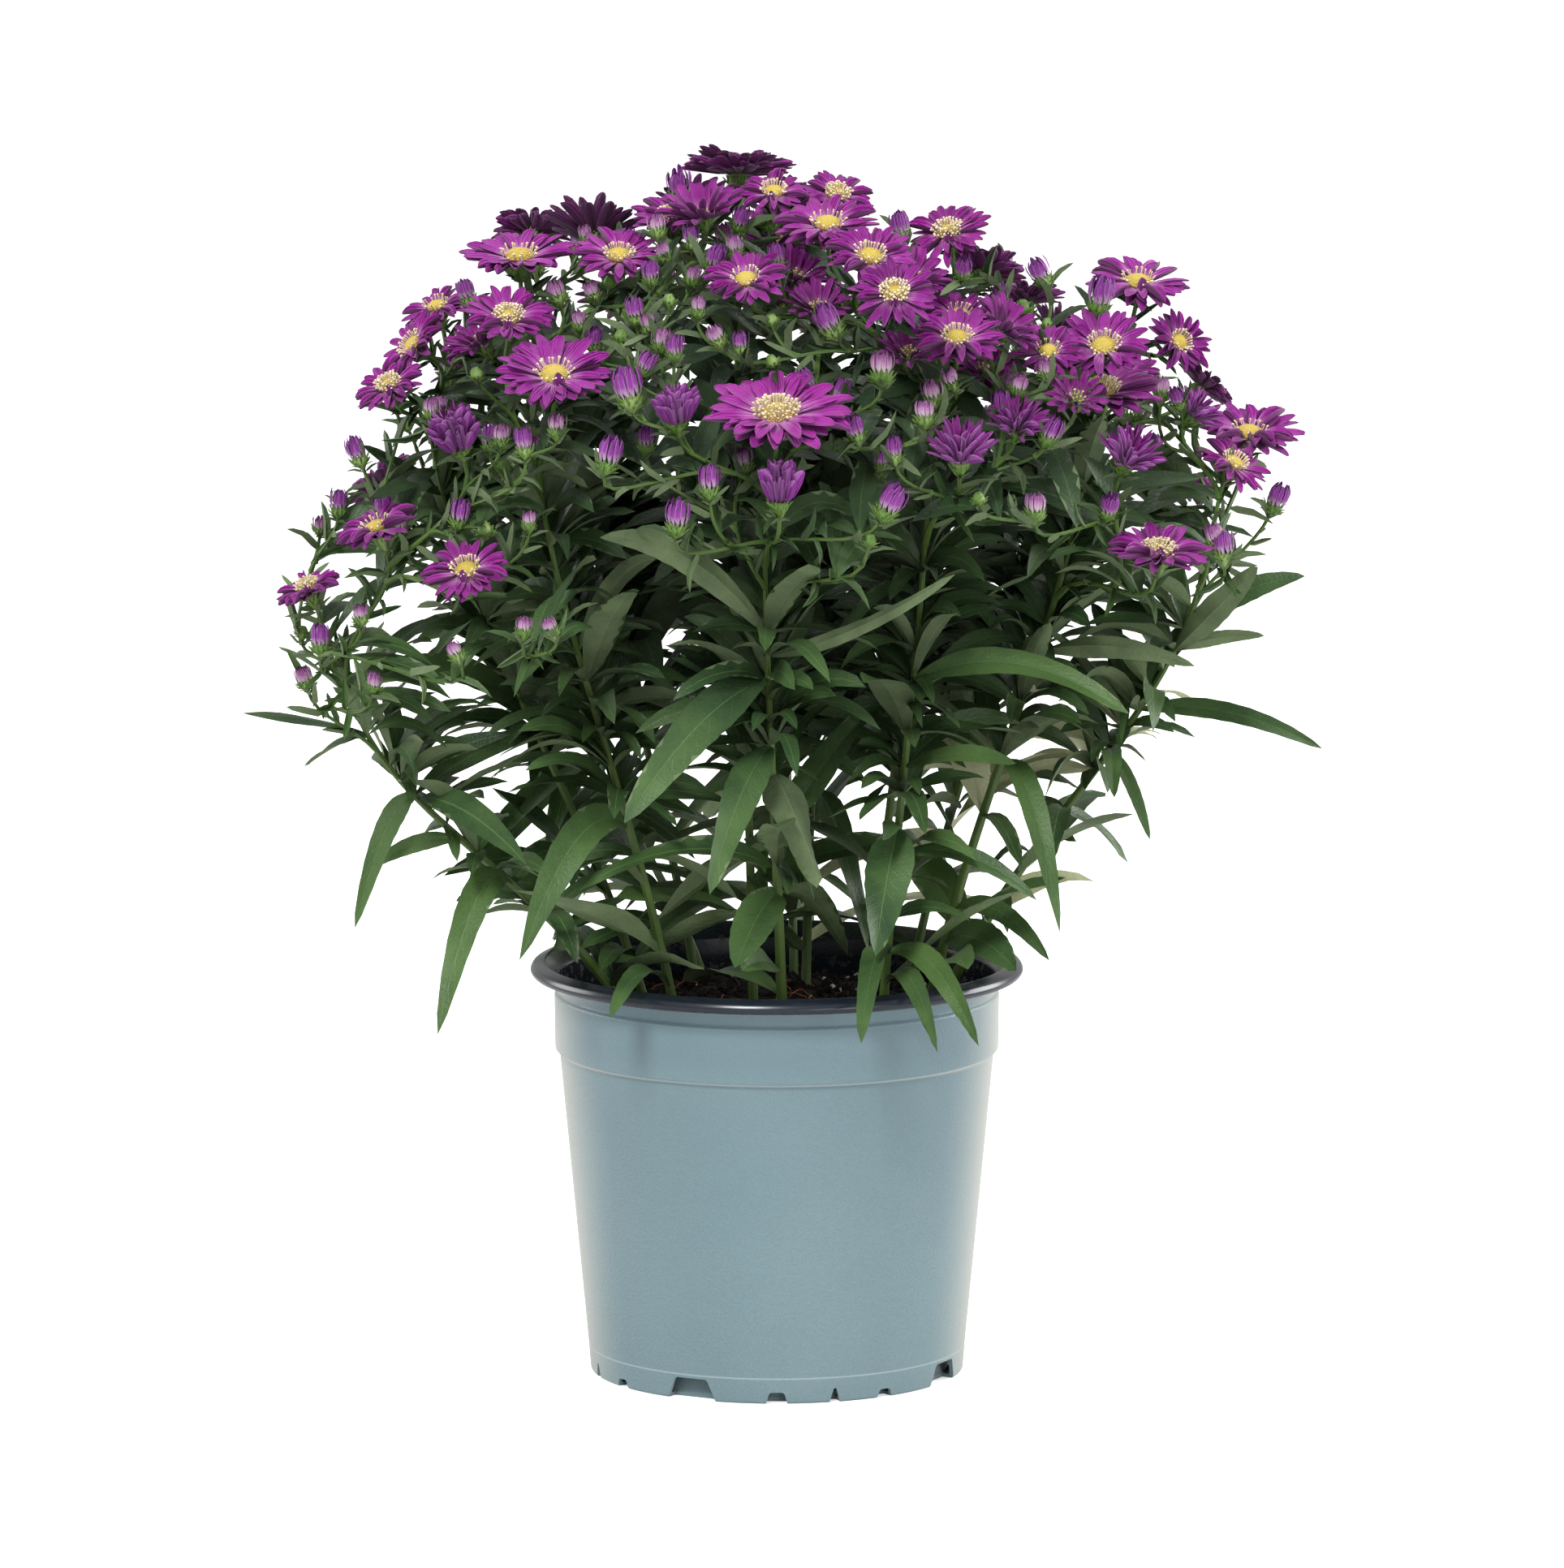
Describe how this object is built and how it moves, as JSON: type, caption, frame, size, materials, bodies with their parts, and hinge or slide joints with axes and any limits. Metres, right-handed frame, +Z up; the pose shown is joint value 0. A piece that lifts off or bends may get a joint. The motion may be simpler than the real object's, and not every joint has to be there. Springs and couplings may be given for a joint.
{
  "type": "potted aster",
  "caption": "Bushy garden aster with purple daisy blooms, yellow discs, buds and lance-shaped leaves, growing in a round tapered nursery pot filled with potting mix.",
  "frame": {"origin": "centre of the pot's foot, on the surface it stands on", "axes": "+Z up along the pot's axis, -Y towards the viewer of the picture, +X to the viewer's right"},
  "size_m": [0.368, 0.2905, 0.4192],
  "materials": {
    "pot_plastic": "satin thermoformed plastic, pale blue-grey outside and dark blue-black at the rim and inside",
    "potting_mix": "rough damp mix of peat and bark",
    "foliage": "satin green leaves and stems, paler and greyer under the leaves",
    "petals": "soft satin purple rays round a disc of yellow florets"
  },
  "bodies": {
    "root": {"pot": "pot_plastic", "potting_mix": "potting_mix", "leafy_stem_01": "foliage", "leafy_stem_02": "foliage", "leafy_stem_03": "foliage", "leafy_stem_04": "foliage", "leafy_stem_05": "foliage", "leafy_stem_06": "foliage", "leafy_stem_07": "foliage", "leafy_stem_08": "foliage", "leafy_stem_09": "foliage", "leafy_stem_10": "foliage", "leafy_stem_11": "foliage", "leafy_stem_12": "foliage", "leafy_stem_13": "foliage", "leafy_stem_14": "foliage", "bloom_01": "petals", "bloom_02": "petals", "bloom_03": "petals", "bloom_04": "petals", "bloom_05": "petals", "bloom_06": "petals", "bloom_07": "petals", "bloom_08": "petals", "bloom_09": "petals", "bloom_10": "petals", "bloom_11": "petals", "bloom_12": "petals", "bloom_13": "petals", "bloom_14": "petals", "bloom_15": "petals", "bloom_16": "petals", "bloom_17": "petals", "bloom_18": "petals", "bloom_19": "petals", "bloom_20": "petals", "bloom_21": "petals", "bloom_22": "petals", "bloom_23": "petals", "bloom_24": "petals", "bloom_25": "petals", "bloom_26": "petals", "bloom_27": "petals", "bloom_28": "petals", "bloom_29": "petals", "bloom_30": "petals", "bloom_31": "petals", "bloom_32": "petals", "bloom_33": "petals", "bloom_34": "petals", "bloom_35": "petals", "bloom_36": "petals", "bloom_37": "petals", "bloom_38": "petals", "bloom_39": "petals", "bloom_40": "petals", "bloom_41": "petals", "bloom_42": "petals", "bloom_43": "petals", "bloom_44": "petals"}
  },
  "joints": []
}
